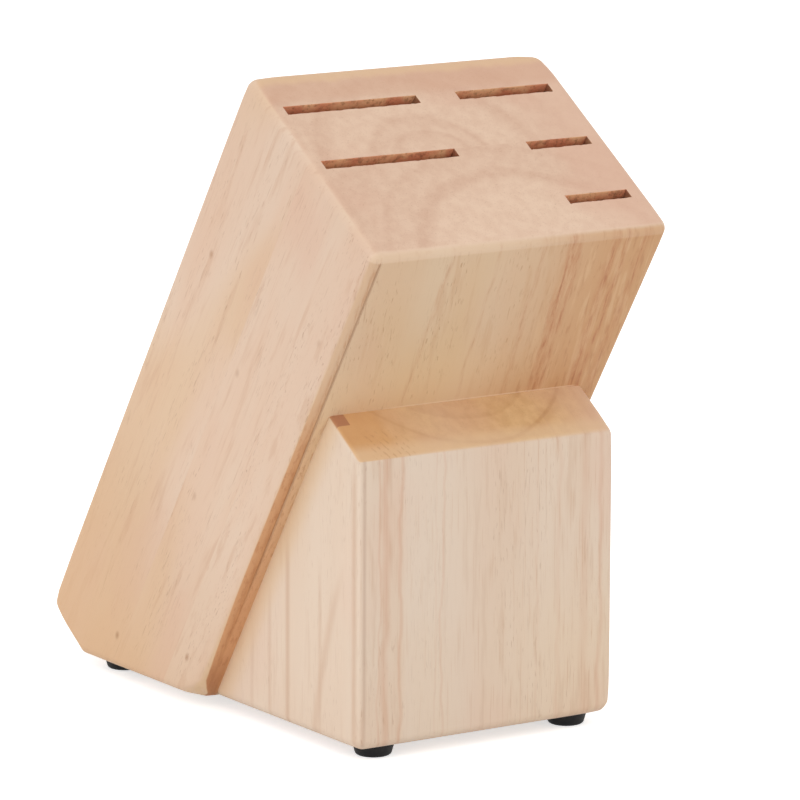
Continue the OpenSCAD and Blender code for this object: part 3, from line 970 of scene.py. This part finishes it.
def beech():
    """The dowels' beech, with its grain level from front to back."""
    g = Graph("dowel_wood")
    p = g.grain_space(0.0)[0]
    fibre = g.noise(g.scaled(p, 0.9, 0.06, 0.9), detail=4.0, roughness=0.6)
    colour = g.mix(g.window(fibre, 0.35, 0.65), srgb(196, 150, 108), srgb(224, 186, 146))
    g.bump(fibre, 0.0001, 0.3)
    return g.surface(colour, 0.6)


def rubber():
    """Satin black rubber, a little browner where dust sits."""
    g = Graph("foot_rubber")
    p = g.grain_space(0.0)[0]
    grain = g.noise(p, 3.5, 3.0, 0.6)
    dust = g.window(g.noise(p, 0.35, 3.0), 0.45, 0.8)
    colour = g.mix(g.product(dust, 0.6), srgb(13, 12, 12), srgb(30, 27, 25))
    g.bump(grain, 0.0001, 0.25)
    return g.surface(colour, g.window(grain, 0.3, 0.7, 0.5, 0.66), specular=0.25)


def zinc(name, tint):
    """Zinc-plated steel, with duller and brighter patches."""
    g = Graph(name)
    p = g.grain_space(0.0)[0]
    patches = g.noise(p, 0.9, 3.0, 0.6)
    colour = g.mix(g.window(patches, 0.35, 0.7), tint, srgb(210, 212, 214))
    g.bump(g.noise(p, 6.0, 2.0), 0.00005, 0.2)
    return g.surface(colour, g.window(patches, 0.3, 0.7, 0.28, 0.45), metallic=1.0)


# ---------------- the pieces
REAR_PITH = (-10.0, 38.2)  # x and depth of the pith at the top
FRONT_PITH = (7.0, -14.8)
PROP_PITH = (2.2, -37.1)
BLOCK_END_FROM = (0.8, 0.99)  # the normal's part up the grain where end grain starts, and is full
PROP_END_FROM = (0.35, 0.8)

slot_material = slot_wood("slot_wood")
rear_wood = wood("rear_wood", LEAN, REAR_PITH, (0.02, -0.05), REAR_RINGS, 4.0, BLOCK_TONES, BLOCK_END,
                 BLOCK_END_FROM, 1.0, (left_extras, rear_extras), pore_share=0.33)
front_middle_wood = wood("front_middle_wood", LEAN, FRONT_PITH, (-0.03, 0.06), FRONT_RINGS, 5.0,
                         BLOCK_TONES, BLOCK_END, BLOCK_END_FROM, 2.0, (left_extras,), pore_share=0.36)
front_wood = wood("front_wood", LEAN, FRONT_PITH, (-0.03, 0.06), FRONT_RINGS, 5.0, BLOCK_TONES,
                  BLOCK_END, BLOCK_END_FROM, 2.0, (left_extras, front_extras), skew=0.16)
prop_wood = wood("prop_wood", 0.0, PROP_PITH, (0.0, 0.0), PROP_RINGS, 2.5, PROP_TONES, PROP_END_WITH_SHADE,
                 PROP_END_FROM, 3.0, (prop_extras,), pore_share=0.32)
WOODS = {"front_board": front_wood, "front_middle_board": front_middle_wood,
         "rear_middle_board": rear_wood, "back_board": rear_wood}

for board in BOARDS:
    made = block_board(board)
    made.data.materials.append(WOODS[board])
    made.data.materials.append(slot_material)
    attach(made, "root")
    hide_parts(board)
for board in ("prop_rear_board", "prop_front_board"):
    made = prop_board(board)
    made.data.materials.append(prop_wood)
    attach(made, "root")
    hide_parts(board)


def refinish(words, material):
    """Gives a material to every CAD node whose name ends in one of the words."""
    for name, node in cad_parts.items():
        if name.endswith(words):
            node.data.materials.clear()
            node.data.materials.append(material)


refinish(("dowel",), beech())
refinish(("foot",), rubber())
refinish(("washer",), zinc("washer_zinc", srgb(176, 180, 186)))
refinish(("screw",), zinc("screw_zinc", srgb(190, 190, 186)))


# ---------------- floor, light and camera
def camera_rays(tree):
    """1 for the rays of the camera, of gloss and of glass, 0 for the light on the object."""
    path = tree.nodes.new("ShaderNodeLightPath")
    seen = path.outputs["Is Camera Ray"]
    for kind in ("Is Glossy Ray", "Is Transmission Ray"):
        either = tree.nodes.new("ShaderNodeMath")
        either.operation = "MAXIMUM"
        tree.links.new(seen, either.inputs[0])
        tree.links.new(path.outputs[kind], either.inputs[1])
        seen = either.outputs[0]
    return seen


SOFT_COLOUR = (1.0, 0.99, 0.98, 1)
SOFT_STRENGTH = 0.88
WHITE = (1, 1, 1, 1)


def make_world():
    """Soft, nearly white light from everywhere. The camera, gloss and glass see plain white instead."""
    world = bpy.data.worlds.new("studio")
    bpy.context.scene.world = world
    world.use_nodes = True
    tree = world.node_tree
    soft = tree.nodes["Background"]
    soft.inputs["Color"].default_value = SOFT_COLOUR
    soft.inputs["Strength"].default_value = SOFT_STRENGTH
    white = tree.nodes.new("ShaderNodeBackground")
    white.inputs["Strength"].default_value = 1.0
    white.inputs["Color"].default_value = WHITE
    blend = tree.nodes.new("ShaderNodeMixShader")
    tree.links.new(camera_rays(tree), blend.inputs[0])
    tree.links.new(soft.outputs[0], blend.inputs[1])
    tree.links.new(white.outputs[0], blend.inputs[2])
    tree.links.new(blend.outputs[0], tree.nodes["World Output"].inputs["Surface"])


FLOOR_SIZE = 6.0  # m, from the middle to each side
FLOOR_COLOUR = (0.86, 0.86, 0.86, 1)
FLOOR_GLOW = 0.62  # what the camera sees on top of the lit floor


def make_floor():
    """A white floor that keeps the block's shadow, and is left out of the object."""
    mesh = bpy.data.meshes.new("floor")
    size = FLOOR_SIZE
    corners = [(-size, -size, 0), (size, -size, 0), (size, size, 0), (-size, size, 0)]
    mesh.from_pydata(corners, [], [(0, 1, 2, 3)])
    floor = add_object("floor", mesh)
    g = Graph("floor_white")
    g.surface(FLOOR_COLOUR, 0.9, specular=0.1)
    glow = g.node("ShaderNodeEmission")
    g.feed(glow.inputs["Strength"], g.product(camera_rays(g.tree), FLOOR_GLOW))
    total = g.fed("ShaderNodeAddShader", (g.shader.outputs[0], glow.outputs[0]))
    g.feed(g.tree.nodes["Material Output"].inputs["Surface"], total.outputs[0])
    mesh.materials.append(g.material)


def make_lamp(name, place, aim, size, power):
    """A square lamp that points at its aim."""
    lamp = bpy.data.lights.new(name, "AREA")
    lamp.shape = "SQUARE"
    lamp.size = size
    lamp.energy = power
    holder = add_object(name, lamp)
    holder.location = place
    holder.rotation_euler = (Vector(aim) - Vector(place)).to_track_quat("-Z", "Y").to_euler()


AIM = (0.0, 0.0, 0.1)  # what the lamps point at
LAMP_SIZE = 1.6

CAMERA_AZIMUTH = math.radians(-33.458)
CAMERA_HEIGHT = math.radians(11.127)
CAMERA_ROLL = math.radians(0.234)
CAMERA_AWAY = 1.80243
CAMERA_TARGET = Vector((0.009193, -0.011754, 0.095536))
CAMERA_SENSOR = 36.0
CAMERA_LENS = 254.08
CAMERA_SHIFT = (0.00775, 0.006375)
CAMERA_END = 20.0


def make_camera():
    """The camera, from its direction, distance and roll round the target."""
    data = bpy.data.cameras.new("camera")
    data.sensor_width = CAMERA_SENSOR
    data.sensor_fit = "HORIZONTAL"
    data.lens = CAMERA_LENS
    data.shift_x, data.shift_y = CAMERA_SHIFT
    data.clip_end = CAMERA_END
    camera = add_object("camera", data)
    flat = math.cos(CAMERA_HEIGHT)
    away_x = math.sin(CAMERA_AZIMUTH) * flat
    away_y = -math.cos(CAMERA_AZIMUTH) * flat
    back = Vector((away_x, away_y, math.sin(CAMERA_HEIGHT)))
    right = Vector((math.cos(CAMERA_AZIMUTH), math.sin(CAMERA_AZIMUTH), 0))
    up = back.cross(right)
    side = right * math.cos(CAMERA_ROLL) + up * math.sin(CAMERA_ROLL)
    above = up * math.cos(CAMERA_ROLL) - right * math.sin(CAMERA_ROLL)
    place = CAMERA_TARGET + back * CAMERA_AWAY
    turn = Matrix((side, above, back)).transposed().to_4x4()
    camera.matrix_world = Matrix.Translation(place) @ turn
    bpy.context.scene.camera = camera


make_world()
make_floor()
make_lamp("key", (-1.9, -0.1, 0.7), AIM, LAMP_SIZE, 6.0)
make_lamp("front", (-0.2, -2.1, 0.8), AIM, LAMP_SIZE, 4.0)
make_camera()
bpy.context.scene.view_settings.view_transform = "Standard"

bpy.context.view_layer.update()
